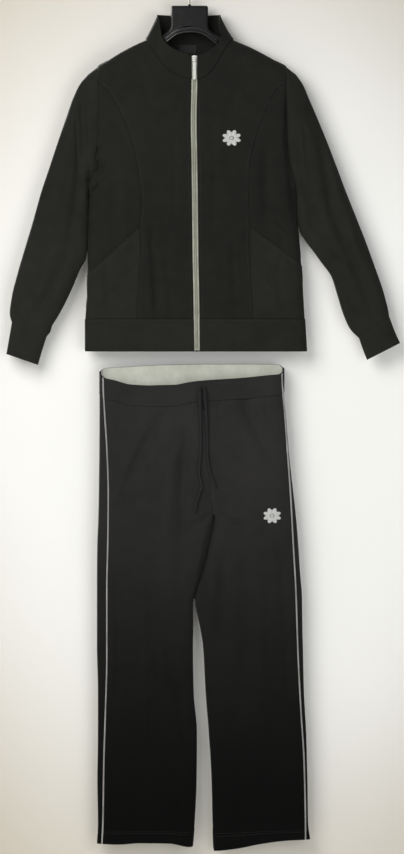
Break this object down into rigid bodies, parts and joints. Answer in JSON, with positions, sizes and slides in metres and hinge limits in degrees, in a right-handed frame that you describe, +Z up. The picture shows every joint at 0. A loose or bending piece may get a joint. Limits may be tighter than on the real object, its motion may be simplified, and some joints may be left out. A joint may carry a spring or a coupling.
{
  "type": "tracksuit on a hanger",
  "caption": "Zipped knit jacket with stand collar on a moulded hanger, and matching piped drawcord trousers hanging flat below it",
  "frame": {"origin": "where the hanger's hook bears on a rail, at the inside top of the hook", "axes": "+Z up, +X to the viewer's right, -Y the front of the garments"},
  "size_m": [0.8265, 0.0684, 1.8525],
  "materials": {
    "black_knit": "smooth warm-black jersey knit with a faint nap",
    "pale_facing": "pale grey jersey knit",
    "piping": "light grey satin-covered cord piping",
    "drawcord": "round braided black cord",
    "zip_tape": "grey-olive woven zip tape",
    "zip_teeth": "grey moulded zip teeth",
    "zip_metal": "bright plated zip slider and pull",
    "label_satin": "blank black satin label",
    "hanger_plastic": "glossy black moulded plastic",
    "hook_wire": "dark steel wire"
  },
  "bodies": {
    "suit": {"jacket_centre_front_left": "black_knit", "jacket_centre_front_right": "black_knit", "jacket_side_front_left": "black_knit", "jacket_side_front_right": "black_knit", "jacket_pocket_front_left": "black_knit", "jacket_pocket_front_right": "black_knit", "jacket_hem_front_left": "black_knit", "jacket_hem_front_right": "black_knit", "jacket_back": "black_knit", "jacket_hem_back": "black_knit", "sleeve_left": "black_knit", "sleeve_right": "black_knit", "cuff_left": "black_knit", "cuff_right": "black_knit", "collar": "black_knit", "neck_label": "label_satin", "size_tab": "label_satin", "zip_tape_left": "zip_tape", "zip_tape_right": "zip_tape", "zip_chain": "zip_teeth", "zip_slider": "zip_metal", "hanger_body": "hanger_plastic", "hanger_hook": "hook_wire", "trouser_front_left": "black_knit", "trouser_front_right": "black_knit", "trouser_back_left": "black_knit", "trouser_back_right": "black_knit", "trouser_side_left": "black_knit", "trouser_side_right": "black_knit", "piping_left": "piping", "piping_right": "piping", "waistband_front": "black_knit", "waistband_back": "black_knit", "waist_facing_front": "pale_facing", "waist_facing_back": "pale_facing", "drawcord_left": "drawcord", "drawcord_right": "drawcord"},
    "pull": {"zip_pull": "zip_metal"}
  },
  "joints": [
    {"name": "pull_swing", "type": "hinge", "parent": "suit", "child": "pull", "pos_m": [0.0093, -0.03549, -0.1894], "axis": [-1, 0, 0], "range_deg": [0, 160]}
  ]
}
